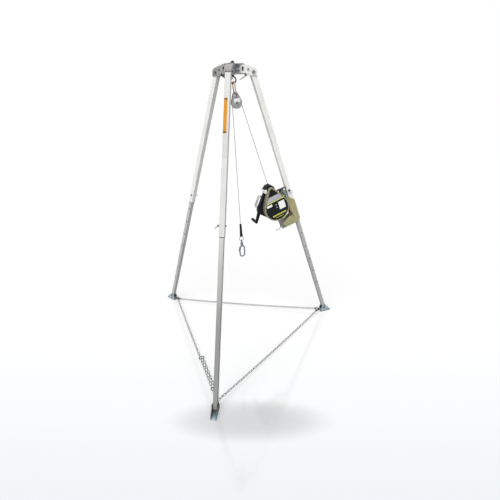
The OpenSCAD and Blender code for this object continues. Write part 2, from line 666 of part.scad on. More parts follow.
module winch_fasteners() color("DimGray") winch() {
  for (p = [top_pin, low_pin]) translate([p[0], 0, p[1]]) {
    bar_y(mount_d, -cheek_y - clamp_head, cheek_y + mount_tip);
    bar_y(mount_d + mount_head[0], -cheek_y - mount_head[1], -cheek_y);
  }
  translate([t_bar[0], -cheek_y - t_bar_y, low_pin[1]]) rotate([0, 90, 0])
    cylinder(d = t_bar_d, h = t_bar[1] - t_bar[0]);
  for (z = clamp_z) translate([back_x, 0, z]) rotate([0, 90, 0]) {
    cylinder(d = bolt_d, h = bracket_t + cut);
    translate([0, 0, bracket_t]) cylinder(d = bolt_af / hex_k, h = clamp_head, $fn = 6);
  }
}
gear_m = 3;
gear_n = 72;
pinion_n = 20;
lobe_a = 170;
lobe = gear_m * (gear_n + pinion_n) / 2 * [cos(lobe_a), sin(lobe_a)];
lobe_r = 42;
module front_outline(w) pear([0, 0], house_r - w, nose, nose_r - w);
module rear_outline(w) union() {
  limb([[nose, nose_r - w], [[0, 0], house_r - w], [lobe, lobe_r - w]]);
  side_pair(nose, nose_r - w, lobe, lobe_r - w);
  polygon([[0, 0], nose, lobe]);
}
top_ear = [[[60, 46], 30], [top_pin, 16]];
low_ear = [[[16, -80], 34], [low_pin, 18]];
module ears() {
  limb(top_ear);
  limb(low_ear);
}
module mount_holes() for (p = [top_pin, low_pin]) translate([p[0], 0, p[1]])
  bar_y(mount_d + 2 * slide, -2 * cheek_y, 2 * cheek_y);
shaft_d = 20;
ear_half = 20;
lobe_y = 8;
face_in = 13;
face_t = 2;
face_screws = [[-96, -24], [96, -24]];
screw_d = 5;
boss_w = 16;
boss_front = 11;
boss_rear = 9;
shaft_in = [4, 2];
guide_y = [-27, 40];
guide_side = [[-56, 4], [-62, 16], [-54, 30], [-20, guide_top], [18, guide_top], [44, 20], [46, 0], [30, -8],
  [-36, -8]];
module guide_block() translate([nose[0], 0, nose[1]]) slab(guide_y[0], guide_y[1]) polygon(guide_side);
module winch_front_cover() color("DarkKhaki") winch() difference() {
  union() {
    difference() {
      slab(-house_half, 0) front_outline(0);
      slab(house_wall - house_half, cut) front_outline(house_wall);
    }
    difference() {
      slab(-ear_half, 0) ears();
      slab(-ear_half - cut, cut) front_outline(house_wall - cut);
    }
    bar_y(shaft_d + boss_w, -house_half, boss_front - house_half);
  }
  bar_y(shaft_d + 2 * slide, shaft_in[0] - house_half, cut);
  mount_holes();
  guide_block();
}
module winch_rear_cover() color("DimGray") winch() difference() {
  union() {
    difference() {
      union() {
        slab(0, house_half) front_outline(0);
        slab(lobe_y, house_half) rear_outline(0);
      }
      slab(-cut, house_half - house_wall) front_outline(house_wall);
      slab(lobe_y + house_wall, house_half - house_wall) rear_outline(house_wall);
    }
    difference() {
      slab(0, ear_half) ears();
      slab(-cut, ear_half + cut) front_outline(house_wall - cut);
    }
    bar_y(shaft_d + boss_w, house_half - boss_rear, house_half);
    at_bail() for (s = [-1, 1]) translate([s * bail_lug - lug_x / 2, -lug_x, -bail_h - lug_sink])
      cube([lug_x, 2 * lug_x, bail_h + lug_sink + lug_x]);
  }
  bar_y(shaft_d + 2 * slide, -cut, house_half - shaft_in[1]);
  translate([lobe[0], 0, lobe[1]]) bar_y(crank_d + 2 * slide, lobe_y + crank_in, house_half + cut);
  at_bail() rotate([0, 90, 0]) translate([0, 0, -bail_half])
    cylinder(d = bail_d + 2 * slide, h = 2 * bail_half);
  mount_holes();
  guide_block();
}
module winch_face_plate() color("DimGray") winch() difference() {
  slab(-house_half - face_t, -house_half) front_outline(face_in);
  for (q = face_screws) translate([q[0], 0, q[1]])
    bar_y(screw_d, -house_half - face_t - cut, cut - house_half);
}
guide_play = 1.5;
run_tilt = atan2(-run_v[0], -run_v[1]) + leg_angle;
module rope_guide() color("DimGray") winch() difference() {
  guide_block();
  translate([outlet_local[0], 0, outlet_local[1]]) rotate([0, run_tilt, 0]) translate([0, 0, -2 * run_in])
    cylinder(d = line_d + 2 * guide_play, h = 3 * run_in);
}

// Folding carry handle on the sloping side of the rear cover
bail_d = 7;
bail_h = 8;
bail_half = 58;
bail_lug = 49;
bail_out = 28;
bail_y = 28;
bail_in = 3.5;
lug_x = 8;
lug_sink = 6;
side_v = nose - lobe;
side_a = atan2(side_v[1], side_v[0]);
bail_down = 34;
bail_c = (nose + lobe) / 2 - bail_down * [cos(side_a), sin(side_a)]
  + ((nose_r + lobe_r) / 2 + bail_h) * [-sin(side_a), cos(side_a)];
module at_bail() translate([bail_c[0], bail_y, bail_c[1]]) rotate([0, -side_a, 0]) children();
module carry_handle() color("Silver") winch() at_bail() {
  for (s = [-1, 1]) {
    rod([s * (bail_lug - bail_in), 0, 0], [s * bail_half, 0, 0], bail_d);
    translate([s * bail_half, 0, 0]) sphere(d = bail_d);
    rod([s * bail_half, 0, 0], [s * bail_half, 0, bail_out], bail_d);
    translate([s * bail_half, 0, bail_out]) sphere(d = bail_d);
  }
  rod([-bail_half, 0, bail_out], [bail_half, 0, bail_out], bail_d);
}

// Inside the winch: drum with its wound line, gear pair and shafts
gear_y0 = 18;
gear_y1 = 30;
gear_hub = 60;
backlash = 0.3;
press_a = 20;
root_k = 1.25;
tip_tooth = 0.95;
crank_d = 16;
drum_y0 = -36;
drum_y1 = 12;
drum_r = 52;
pack_r = 64;
flange_r = 96;
flange_t = 4;
drum_bore = shaft_d / 2 + slide;
module winch_drum() color("Silver") winch() rotate([-90, 0, 0]) rotate_extrude()
  polygon([[drum_bore, drum_y0], [flange_r, drum_y0], [flange_r, drum_y0 + flange_t], [drum_r, drum_y0 +
    flange_t], [drum_r, drum_y1 - flange_t], [flange_r, drum_y1 - flange_t], [flange_r, drum_y1],
    [drum_bore, drum_y1]]);
module drum_line() color("LightGray") winch() rotate([-90, 0, 0]) rotate_extrude()
  translate([drum_r, drum_y0 + flange_t]) square([pack_r - drum_r, drum_y1 - drum_y0 - 2 * flange_t]);
function inv(a) = tan(a) - a * PI / 180;
function half(n, r) = let (rp = gear_m * n / 2, rb = rp * cos(press_a)) 180 / PI * (PI / (2 * n)
  - backlash / (4 * rp) + inv(press_a) - inv(acos(min(1, rb / max(r, rb)))));
function tooth(n, c) = let (rp = gear_m * n / 2, rr = rp - root_k * gear_m, rs = max(rr, rp * cos(press_a)),
  rt = rp + tip_tooth * gear_m) [for (q = [[rr, -half(n, rs)], [rs + slide, -half(n, rs)], [rp, -half(n, rp)],
    [rt, -half(n, rt)], [rt, half(n, rt)], [rp, half(n, rp)], [rs + slide, half(n, rs)], [rr, half(n, rs)]])
    q[0] * [cos(c + q[1]), sin(c + q[1])]];
module gear(n, turn) polygon([for (i = [0:n - 1]) each tooth(n, turn + 360 * i / n)]);
module drum_gear() color("DarkGoldenrod") winch() difference() {
  union() {
    slab(gear_y0, gear_y1) gear(gear_n, lobe_a);
    bar_y(gear_hub, drum_y1, gear_y0 + cut);
  }
  bar_y(shaft_d + 2 * slide, drum_y1 - cut, gear_y1 + cut);
}
module drum_shaft() color("Silver") winch()
  bar_y(shaft_d, shaft_in[0] - house_half, house_half - shaft_in[1]);
spring_d = [120, 150];
spring_gap = 0.6;
spring_h = 7;
module retract_spring() color("DimGray") winch() difference() {
  bar_y(spring_d[1], gear_y1 + spring_gap, gear_y1 + spring_h);
  bar_y(spring_d[0], gear_y1, gear_y1 + spring_h + cut);
}

// Crank: shaft with pinion, bent arm and turning grip
collar_y = house_half + gap;
collar_t = 7;
collar_d = 14;
arm_y = collar_y + collar_t;
arm_plate = 10;
arm_ends = [19, 13];
crank_in = 2;
crank_tip = 9;
crank_af = 24;
crank_nut = 7;
crank_a = -125;
crank_end = crank_len * [cos(crank_a), sin(crank_a)];
grip_gap = 2;
grip_y = arm_y + arm_plate + grip_gap;
spindle_d = 10;
cap_w = 8;
cap_h = 6;
module at_crank() winch() translate([lobe[0], 0, lobe[1]]) children();
module crank_shaft() color("Silver") at_crank() {
  slab(gear_y0 - cut, gear_y1 + cut) gear(pinion_n, lobe_a + 180 + 180 / pinion_n);
  bar_y(crank_d, lobe_y + crank_in + gap, arm_y + arm_plate + crank_tip);
  bar_y(crank_d + collar_d, collar_y, arm_y);
  hex_y(crank_af, arm_y + arm_plate, arm_y + arm_plate + crank_nut);
}
module crank_arm() color("LightGray") at_crank() {
  difference() {
    slab(arm_y, arm_y + arm_plate) pear([0, 0], arm_ends[0], crank_end, arm_ends[1]);
    bar_y(crank_d, 0, arm_y + 2 * arm_plate);
  }
  translate([crank_end[0], 0, crank_end[1]]) {
    bar_y(spindle_d, arm_y + cut, grip_y + grip_len + cap_h);
    bar_y(spindle_d + cap_w, grip_y + grip_len + gap, grip_y + grip_len + cap_h);
  }
}
module crank_grip() color("DimGray") at_crank()
  translate([crank_end[0], grip_y, crank_end[1]]) rotate([-90, 0, 0])
  rotate_extrude() polygon([[spindle_d / 2 + slide, 0], [13, 0], [15, 8], [13.5, 0.35 * grip_len],
    [15.5, 0.7 * grip_len], [14, grip_len - 4], [12, grip_len], [spindle_d / 2 + slide, grip_len]]);

head_arm_front();
head_arm_left();
head_arm_right();
hub_top_plate();
hub_bottom_plate();
hub_brackets();
hub_bolts();
leg_hinge_bolts();
eye_bolt();
carabiner_body();
carabiner_gate();
pulley_cheeks();
pulley_axle();
pulley_sheave();
upper_leg_front();
upper_leg_left();
upper_leg_right();
glide_bush_front();
glide_bush_left();
glide_bush_right();
lower_leg_front();
lower_leg_left();
lower_leg_right();
foot_front();
foot_left();
foot_right();
foot_bolt_front();
foot_bolt_left();
foot_bolt_right();
lock_pin_front();
lock_pin_left();
lock_pin_right();
leg_latch_front();
leg_latch_left();
leg_latch_right();
chain_front();
chain_left();
chain_right();
chain_tail();
lifeline_run();
lifeline_drop();
line_ferrule();
hook_swivel();
snap_hook();
hook_gate();
winch_bracket();
winch_fasteners();
winch_front_cover();
winch_rear_cover();
winch_face_plate();
rope_guide();
carry_handle();
winch_drum();
drum_line();
drum_gear();
drum_shaft();
retract_spring();
crank_shaft();
crank_arm();
crank_grip();
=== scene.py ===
import json
import math

import bpy
from mathutils import Matrix, Vector


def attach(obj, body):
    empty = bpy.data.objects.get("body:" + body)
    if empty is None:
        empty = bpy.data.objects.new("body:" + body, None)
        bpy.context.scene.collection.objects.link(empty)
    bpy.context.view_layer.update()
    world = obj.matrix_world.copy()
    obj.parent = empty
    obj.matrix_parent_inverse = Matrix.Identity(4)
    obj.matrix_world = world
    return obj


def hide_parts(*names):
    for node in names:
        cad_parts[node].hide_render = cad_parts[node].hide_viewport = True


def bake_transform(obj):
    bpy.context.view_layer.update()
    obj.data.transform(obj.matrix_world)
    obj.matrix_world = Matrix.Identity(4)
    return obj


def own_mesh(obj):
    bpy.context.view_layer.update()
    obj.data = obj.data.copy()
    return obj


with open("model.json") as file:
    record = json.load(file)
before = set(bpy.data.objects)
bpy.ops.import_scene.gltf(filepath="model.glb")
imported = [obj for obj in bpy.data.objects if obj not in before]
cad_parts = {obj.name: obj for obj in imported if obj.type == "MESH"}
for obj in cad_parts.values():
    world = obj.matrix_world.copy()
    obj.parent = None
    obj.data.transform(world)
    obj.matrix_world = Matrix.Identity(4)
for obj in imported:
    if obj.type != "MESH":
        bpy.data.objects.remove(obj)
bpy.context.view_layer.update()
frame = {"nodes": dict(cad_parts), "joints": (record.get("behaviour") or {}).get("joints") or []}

# Stage: a pale floor that fades to cool grey in front, with one soft round painted shadow, a white
# surround, two wide soft lights and the camera that stands a little right of the front leg.
joints = {joint["name"]: joint for joint in frame["joints"]}
HINGES = [joints["leg_fold_" + side]["pos_m"] for side in ("front", "left", "right")]
AXIS_Y = sum(y for x, y, z in HINGES) / len(HINGES)
CAMERA_AZIMUTH, CAMERA_RANGE, CAMERA_HEIGHT = 10.86, 3.169, 2.424
CAMERA_PITCH, CAMERA_YAW, CAMERA_ROLL = 24.48, 2.37, 0.30
LENS_PIXELS, PHOTO_SIDE, SENSOR = 351.2, 500, 36.0
KEY_LIGHT, FILL_LIGHT, ROOM_LIGHT = 2.2, 1.57, 0.30
LIGHT_SPREAD, LIGHT_SIDE, LIGHT_UP = 40, 30, 45
WHITE = (1.0, 1.0, 1.0, 1.0)
FLOOR_NEAR, FLOOR_BOUNCE = (0.86, 0.895, 0.925, 1.0), (0.42, 0.43, 0.44, 1.0)
FLOOR_REACH, FLOOR_TURN = 40.0, 8.15
FADE_FROM, FADE_TO, FADE_CURVE = 0.3, -1.6, 1.5
CLEAR_FROM, CLEAR_TO = -3.0, -8.0
SHADE_AT, SHADE_HALF, SHADE_DEPTH = (0.176, -0.872), (0.72, 0.230), 0.27
GLOW, GLOW_SHARE, GLOSS_SHARE, GLOSS_ROUGH = 0.93, 0.62, 0.10, 0.09


def turn(degrees, axis):
    return Matrix.Rotation(math.radians(degrees), 4, axis)


def knot(tree, kind, sockets=None, **settings):
    """A shader node with its sockets linked or set, as its outputs."""
    made = tree.nodes.new("ShaderNode" + kind)
    for key, value in settings.items():
        setattr(made, key, value)
    for key, value in (sockets or {}).items():
        if isinstance(value, bpy.types.NodeSocket):
            tree.links.new(value, made.inputs[key])
        else:
            made.inputs[key].default_value = value
    return made.outputs


def span(tree, value, begin=0.0, end=1.0, low=0.0, high=1.0, shape="LINEAR"):
    """The value's way from begin to end, brought to low and high."""
    return knot(tree, "MapRange", {"Value": value, "From Min": begin, "From Max": end,
                                   "To Min": low, "To Max": high}, interpolation_type=shape)[0]


def mix(tree, share, first, second, kind="MIX"):
    return knot(tree, "MixRGB", {"Fac": share, "Color1": first, "Color2": second}, blend_type=kind)["Color"]


def maths(tree, kind, *values):
    return knot(tree, "Math", dict(enumerate(values)), operation=kind)[0]


def seen_directly(tree):
    """1 for what the camera sees straight, in a reflection or through glass."""
    ray = knot(tree, "LightPath")
    seen = maths(tree, "MAXIMUM", ray["Is Camera Ray"], ray["Is Glossy Ray"])
    return maths(tree, "MAXIMUM", seen, ray["Is Transmission Ray"])


camera = bpy.data.objects.new("camera", bpy.data.cameras.new("camera"))
bpy.context.scene.collection.objects.link(camera)
camera.data.sensor_width = SENSOR
camera.data.lens = LENS_PIXELS / PHOTO_SIDE * SENSOR
camera.matrix_world = (
    Matrix.Translation((0, AXIS_Y, 0)) @ turn(CAMERA_AZIMUTH, "Z")
    @ Matrix.Translation((0, -CAMERA_RANGE, CAMERA_HEIGHT))
    @ turn(-CAMERA_YAW, "Z") @ turn(90 - CAMERA_PITCH, "X") @ turn(-CAMERA_ROLL, "Z")
)
bpy.context.scene.camera = camera
bpy.context.scene.view_settings.view_transform = "Standard"

for name, strength, azimuth in (
    ("key_light", KEY_LIGHT, -LIGHT_SIDE),
    ("fill_light", FILL_LIGHT, LIGHT_SIDE),
):
    lamp = bpy.data.objects.new(name, bpy.data.lights.new(name, "SUN"))
    lamp.data.energy = strength
    lamp.data.angle = math.radians(LIGHT_SPREAD)
    lamp.matrix_world = turn(azimuth, "Z") @ turn(90 - LIGHT_UP, "X")
    bpy.context.scene.collection.objects.link(lamp)

world = bpy.data.worlds.new("surround")
world.use_nodes = True
bpy.context.scene.world = world
room = world.node_tree
level = span(room, seen_directly(room), low=ROOM_LIGHT)
room.nodes["Background"].inputs["Color"].default_value = WHITE
room.links.new(level, room.nodes["Background"].inputs["Strength"])

floor_mesh = bpy.data.meshes.new("floor")
floor_mesh.from_pydata(
    [(x * FLOOR_REACH, y * FLOOR_REACH, 0) for x, y in ((-1, -1), (1, -1), (1, 1), (-1, 1))],
    [], [(0, 1, 2, 3)])
floor = bpy.data.objects.new("floor", floor_mesh)
bpy.context.scene.collection.objects.link(floor)
floor_paint = bpy.data.materials.new("pale_floor")
floor_paint.use_nodes = True
tree = floor_paint.node_tree
place = knot(tree, "TexCoord")["Object"]
place = knot(tree, "Mapping", {"Vector": place, "Rotation": (0, 0, math.radians(FLOOR_TURN))},
             vector_type="TEXTURE")[0]
depth = knot(tree, "SeparateXYZ", {"Vector": place})["Y"]
fade = maths(tree, "POWER", span(tree, depth, FADE_FROM, FADE_TO), FADE_CURVE)
fade = maths(tree, "MULTIPLY", fade, span(tree, depth, CLEAR_FROM, CLEAR_TO, 1.0, 0.0))
tone = mix(tree, fade, WHITE, FLOOR_NEAR)
# A soft round painted shadow under the tripod darkens the floor tone towards its middle.
away = knot(tree, "Mapping", {"Vector": place, "Location": (*SHADE_AT, 0), "Scale": (*SHADE_HALF, 1)},
            vector_type="TEXTURE")[0]
away = knot(tree, "VectorMath", {0: away, 1: away}, operation="DOT_PRODUCT")["Value"]
tone = mix(tree, 1.0, tone, span(tree, away, low=1 - SHADE_DEPTH, shape="SMOOTHSTEP"), "MULTIPLY")
plain = knot(tree, "BsdfDiffuse", {"Color": tone})[0]
glow = knot(tree, "Emission", {"Color": tone, "Strength": GLOW})[0]
shine = knot(tree, "BsdfGlossy", {"Color": tone, "Roughness": GLOSS_ROUGH})[0]
lit = knot(tree, "MixShader", {0: GLOW_SHARE, 1: plain, 2: glow})[0]
lit = knot(tree, "MixShader", {0: GLOSS_SHARE, 1: lit, 2: shine})[0]
bounce = knot(tree, "BsdfDiffuse", {"Color": FLOOR_BOUNCE})[0]
lit = knot(tree, "MixShader", {0: seen_directly(tree), 1: bounce, 2: lit})[0]
tree.links.new(lit, tree.nodes["Material Output"].inputs["Surface"])
floor_mesh.materials.append(floor_paint)

# Wire line: galvanised rope of six strands, laid up and run from the winch over the sheave
# and down to the hook. It is three pieces, because each stretch moves in its own way.
LEAN, HINGE_R, HINGE_Z = 20.0, AXIS_Y - HINGES[0][1], HINGES[0][2]
EYE_LOW, HANG_LEAN, DROP_LEAN = 0.060, 9.0, 2.9
EYE_Z = HINGE_Z - EYE_LOW
SHEAVE_R, SHEAVE_DROP = 0.038, 0.1731
LINE_D, DROP_LENGTH, LIFT = 0.0048, 1.068, joints["hook_lift"]["range_m"][1]
STRANDS, STRAND_SIDES, STRAND_DIP, LAY = 6, 3, 0.80, 0.036
GUIDE_DEPTH, TURN_STEPS = 0.02, 30
WINCH_IN, WINCH_S = 0.180, 1.190
OUTLET = (0.0, 0.238)
RIGHT, LEFT, FRONT = 30, 150, -90


def radial(azimuth):
    return Matrix.Translation((0, AXIS_Y, 0)) @ turn(azimuth, "Z")


def solid(name, points, faces, paint, smooth=True):
    mesh = bpy.data.meshes.new(name)
    mesh.from_pydata([tuple(p) for p in points], [], faces)
    mesh.materials.append(paint)
    mesh.polygons.foreach_set("use_smooth", [smooth] * len(mesh.polygons))
    mesh.update()
    piece = bpy.data.objects.new(name, mesh)
    bpy.context.scene.collection.objects.link(piece)
    return piece


def tube_rings(path, side, outline, closed=False):
    """Points of a tube whose outline(i) gives (angle, radius) pairs about path point i."""
    points, last = [], len(path) - 1
    for i, p in enumerate(path):
        ahead = path[(i + 1) % (last + 1)] if closed else path[min(i + 1, last)]
        behind = path[i - 1] if closed else path[max(i - 1, 0)]
        along = (ahead - behind).normalized()
        up = side.cross(along).normalized()
        points += [p + r * (math.cos(a) * side + math.sin(a) * up) for a, r in outline(i)]
    return points


def tube_faces(rings, sides, closed=False):
    """Faces between rings of points, with a cap at each end of an open tube."""
    faces = []
    for i in range(rings if closed else rings - 1):
        k = (i + 1) % rings
        faces += [(i * sides + j, i * sides + (j + 1) % sides, k * sides + (j + 1) % sides, k * sides + j)
                  for j in range(sides)]
    if not closed:
        faces.append(tuple(reversed(range(sides))))
        faces.append(tuple((rings - 1) * sides + j for j in range(sides)))
    return faces


def spaced(path, step):
    """The same line with points about a step apart."""
    made = [path[0]]
    for p, q in zip(path, path[1:]):
        count = max(1, round((q - p).length / step))
        made += [p.lerp(q, (i + 1) / count) for i in range(count)]
    return made


CLOUD_AT, CLOUD_SHARE, TONE_AT = (0.36, 0.64), 0.7, (0.2, 1.0)
FILM_SCALE, FILM_AT, RUB_GLINT_AT = 0.6, (0.45, 0.66), (0.995, 0.8)
CORNER_SHADE_REACH, CORNER_SHADE_AT, CORNER_SHADE = 0.05, (0.25, 0.8), 0.85
GRAIN_AT, GLOSS_LESS, GLOSS_MORE = (0.3, 0.7), 0.07, 0.09
DRAWN_OUT, RELIEF, EDGE_RAYS = 0.012, 0.6, 4
UNLIT = (0.008, 0.008, 0.008, 1.0)


def in_frame(tree, at):
    place = knot(tree, "TexCoord")["Object"]
    return knot(tree, "Mapping", {"Vector": place, "Location": at.to_translation(),
                                  "Rotation": at.to_euler()}, vector_type="TEXTURE")[0]


def finish(name, pale, dark, patch, metal, rough, grain, relief, rub_and_glint=None, rub_width=0.0012, drawn=None,
           spec=0.5, stain=None, fade=None, split=None, hollow=None):
    """A finish with cloudy tone, fine grain, edges lightened as wear and painted highlight, and painted shade
    in the corners. It is drawn along a frame's Z where one is given, fades along that Z, takes a second
    colour beyond a plane, and is painted black as shade inside a hollow of a given half width."""
    paint = bpy.data.materials.new(name)
    paint.use_nodes = True
    tree = paint.node_tree
    shader = tree.nodes["Principled BSDF"]
    shader.inputs["Metallic"].default_value = metal
    shader.inputs["Specular IOR Level"].default_value = spec
    place = in_frame(tree, drawn) if drawn else knot(tree, "TexCoord")["Object"]
    fine = knot(tree, "Mapping", {"Vector": place, "Scale": (1.0, 1.0, DRAWN_OUT)})[0] if drawn else place
    cloud = knot(tree, "TexNoise", {"Vector": place, "Scale": patch, "Detail": 4.0, "Roughness": 0.6})[0]
    speck = knot(tree, "TexNoise", {"Vector": fine, "Scale": grain, "Detail": 3.0, "Roughness": 0.65})[0]
    mixed = maths(tree, "MULTIPLY_ADD", span(tree, cloud, *CLOUD_AT), CLOUD_SHARE, speck)
    colour = mix(tree, span(tree, mixed, *TONE_AT), (*dark, 1), (*pale, 1))
    if stain:
        drift = knot(tree, "TexNoise", {"Vector": place, "Scale": patch * FILM_SCALE, "Detail": 2.0})[0]
        colour = mix(tree, span(tree, drift, *FILM_AT), colour, (*stain, 1))
    if fade:
        begin, end, far = fade
        along = knot(tree, "SeparateXYZ", {"Vector": place})["Z"]
        weak = mix(tree, span(tree, along, begin, end), WHITE, (*far, 1))
        colour = mix(tree, 1.0, colour, weak, "MULTIPLY")
    if split:
        at, way, limit, other = split
        reach = knot(tree, "VectorMath", {0: in_frame(tree, at), 1: way}, operation="DOT_PRODUCT")["Value"]
        colour = mix(tree, maths(tree, "GREATER_THAN", reach, limit), colour, (*other, 1))
    # Painted shade: inside the hollow the colour is set to near black, standing in for the shade inside the
    # tube.
    if hollow:
        spot = knot(tree, "VectorMath", {0: place}, operation="ABSOLUTE")["Vector"]
        spot = knot(tree, "SeparateXYZ", {"Vector": spot})
        wall = maths(tree, "MAXIMUM", spot["X"], spot["Y"])
        colour = mix(tree, maths(tree, "LESS_THAN", wall, hollow), colour, UNLIT)
    edge_normal = knot(tree, "Bevel", {"Radius": rub_width}, samples=EDGE_RAYS)[0]
    # Lighter edges: partly rubbed wear, partly a painted highlight where the edges catch the light.
    if rub_and_glint:
        flat = knot(tree, "NewGeometry")["Normal"]
        facing = knot(tree, "VectorMath", {0: edge_normal, 1: flat}, operation="DOT_PRODUCT")["Value"]
        rub_and_glint_mask = maths(tree, "MULTIPLY", span(tree, facing, *RUB_GLINT_AT), speck)
        colour = mix(tree, rub_and_glint_mask, colour, (*rub_and_glint, 1))
    # Painted shade: the colour darkens where ambient occlusion finds nearby surfaces, in corners and between
    # parts.
    open_sky = knot(tree, "AmbientOcclusion", {"Distance": CORNER_SHADE_REACH}, samples=EDGE_RAYS)["AO"]
    colour = mix(tree, 1.0, colour, span(tree, open_sky, *CORNER_SHADE_AT, low=1 - CORNER_SHADE), "MULTIPLY")
    tree.links.new(colour, shader.inputs["Base Color"])
    gloss = span(tree, speck, *GRAIN_AT, rough - GLOSS_LESS, rough + GLOSS_MORE)
    tree.links.new(gloss, shader.inputs["Roughness"])
    raised = knot(tree, "Bump", {"Height": speck, "Normal": edge_normal, "Distance": relief,
                                 "Strength": RELIEF})
    tree.links.new(raised[0], shader.inputs["Normal"])
    return paint


plane = radial(RIGHT)
plane_side = (plane.to_3x3() @ Vector((0, 1, 0))).normalized()
sheave = Vector((SHEAVE_DROP * math.sin(math.radians(HANG_LEAN)), 0,
                 EYE_Z - SHEAVE_DROP * math.cos(math.radians(HANG_LEAN))))
local = Vector((OUTLET[0] - WINCH_IN, 0, OUTLET[1] - WINCH_S))
outlet = turn(-LEAN, "Y") @ local + Vector((HINGE_R, 0, HINGE_Z))
reach = outlet - sheave
run_angle = math.atan2(reach.z, reach.x) + math.acos(SHEAVE_R / reach.length)
drop_angle = math.radians(180 + DROP_LEAN)


def on_sheave(angle):
    return sheave + SHEAVE_R * Vector((math.cos(angle), 0, math.sin(angle)))


run_top, drop_top = on_sheave(run_angle), on_sheave(drop_angle)
drop_way = Vector((math.sin(math.radians(DROP_LEAN)), 0, -math.cos(math.radians(DROP_LEAN))))
drop_end = drop_top + DROP_LENGTH * drop_way
run_way = (outlet - run_top).normalized()
in_guide = outlet + GUIDE_DEPTH * run_way
wire_zinc = finish("wire_zinc", (0.28, 0.28, 0.275), (0.13, 0.13, 0.13), 90, 0.6, 0.36, 900, 0.0002)


def wire_rope(name, line, step=0.004):
    path = [plane @ p for p in spaced(line, step)]
    lobes = STRAND_SIDES * STRANDS

    def strands(i):
        twist = 2 * math.pi * i * step / LAY
        return [(2 * math.pi * j / lobes + twist,
                 LINE_D / 2 * (1.0 if j % STRAND_SIDES else STRAND_DIP)) for j in range(lobes)]

    piece = solid(name, tube_rings(path, plane_side, strands), tube_faces(len(path), lobes), wire_zinc)
    return piece, path


line_run, run_path = wire_rope("line_run", [in_guide, run_top])
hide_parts("lifeline_run")
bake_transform(line_run)
turns = [on_sheave(run_angle + (drop_angle - run_angle) * i / TURN_STEPS) for i in range(TURN_STEPS + 1)]
line_turn, _ = wire_rope("line_turn", turns)
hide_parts("lifeline_run")
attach(line_turn, "head")
line_drop, drop_path = wire_rope("line_drop", [drop_top, drop_end])
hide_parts("lifeline_drop")
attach(line_drop, "head")
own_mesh(line_drop)

# Head: three arms pressed from aluminium plate, joined by two hub plates, bent steel corner
# brackets and hex bolts. The plate is grey from rolling, and the right arm is painted paler as
# painted light falling on its side. The brackets are bluish zinc.
plate_grey = finish("plate_grey", (0.33, 0.325, 0.315), (0.24, 0.235, 0.23), 14, 0.15, 0.44, 420, 0.0002,
                    rub_and_glint=(0.56, 0.55, 0.53))
# Painted light: the right arm's paler plate stands in for light on that side, though all arms are one plate.
plate_lit_pale = finish("plate_lit_pale", (0.82, 0.815, 0.80), (0.70, 0.695, 0.685), 14, 0.05, 0.40, 420, 0.0002,
                    rub_and_glint=(0.94, 0.94, 0.93))
bracket_zinc = finish("bracket_zinc", (0.33, 0.41, 0.44), (0.13, 0.18, 0.21), 30, 0.4, 0.36, 380, 0.0002,
                      rub_and_glint=(0.60, 0.66, 0.68), split=(radial(0), (1, 0, 0), 0.046, (0.55, 0.56, 0.56)))
bolt_steel = finish("bolt_steel", (0.20, 0.20, 0.21), (0.08, 0.08, 0.085), 60, 0.75, 0.36, 700, 0.0002,
                    rub_and_glint=(0.5, 0.5, 0.5))


def dress(paint, *names):
    for name in names:
        for place in frame["nodes"][name].material_slots:
            place.material = paint


dress(plate_grey, "hub_top_plate", "hub_bottom_plate", "head_arm_front", "head_arm_left")
dress(plate_lit_pale, "head_arm_right")
dress(bracket_zinc, "hub_brackets")
dress(bolt_steel, "hub_bolts", "leg_hinge_bolts")

# Eye bolt, carabiner and pulley: a blackened forged eye through both hub plates, a yellow
# zinc carabiner and a grey pulley with painted cheeks, a bare pale plate and a turned sheave.
CHEEK_Y, TAG_AT, TAG, FILM = 0.0125, (0.004, -0.156), (0.054, 0.032, 0.003), 0.0005
black_oxide = finish("black_oxide", (0.030, 0.030, 0.034), (0.010, 0.010, 0.012), 45, 0.5, 0.40, 500, 0.0003,
                     rub_and_glint=(0.16, 0.16, 0.17), spec=0.3)
yellow_zinc = finish("yellow_zinc", (0.60, 0.43, 0.30), (0.44, 0.30, 0.20), 35, 0.4, 0.34, 500, 0.0002,
                     rub_and_glint=(0.80, 0.68, 0.56))
cheek_paint = finish("cheek_paint", (0.33, 0.33, 0.34), (0.22, 0.22, 0.23), 30, 0.2, 0.46, 600, 0.0002,
                     rub_and_glint=(0.55, 0.55, 0.55))
pale_film = finish("pale_film", (0.92, 0.92, 0.90), (0.82, 0.82, 0.81), 40, 0.0, 0.42, 900, 0.0001)
dress(black_oxide, "eye_bolt")
dress(yellow_zinc, "carabiner_body", "carabiner_gate")
dress(cheek_paint, "pulley_cheeks")
dress(bolt_steel, "pulley_axle", "pulley_sheave")


def rounded(wide, high, r, steps=5):
    rim = []
    for k, (sx, sy) in enumerate(((1, 1), (-1, 1), (-1, -1), (1, -1))):
        for i in range(steps + 1):
            a = math.pi / 2 * (k + i / steps)
            rim.append((sx * (wide / 2 - r) + r * math.cos(a), sy * (high / 2 - r) + r * math.sin(a)))
    return rim


def plate(name, at, rim, thick, paint, body, lip=0.0002):
    """A thin plate on the X and Z plane of a frame, standing out towards its -Y, with a soft rim."""
    wide = max(abs(x) for x, _ in rim)
    rings = ((0.0, 1.0), (thick - lip, 1.0), (thick, 1.0 - lip / wide))
    points = [at @ Vector((x * k, -out, z * k)) for out, k in rings for x, z in rim]
    count = len(rim)
    faces = [(r * count + i, r * count + (i + 1) % count,
              (r + 1) * count + (i + 1) % count, (r + 1) * count + i)
             for r in range(2) for i in range(count)]
    faces += [tuple(reversed(range(count))), tuple(range(2 * count, 3 * count))]
    piece = solid(name, points, faces, paint, smooth=False)
    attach(piece, body)
    return piece


hang = plane @ Matrix.Translation((0, 0, EYE_Z)) @ turn(-HANG_LEAN, "Y")
plate("pulley_tag", hang @ Matrix.Translation((TAG_AT[0], -CHEEK_Y, TAG_AT[1])), rounded(*TAG),
      FILM, pale_film, "head")
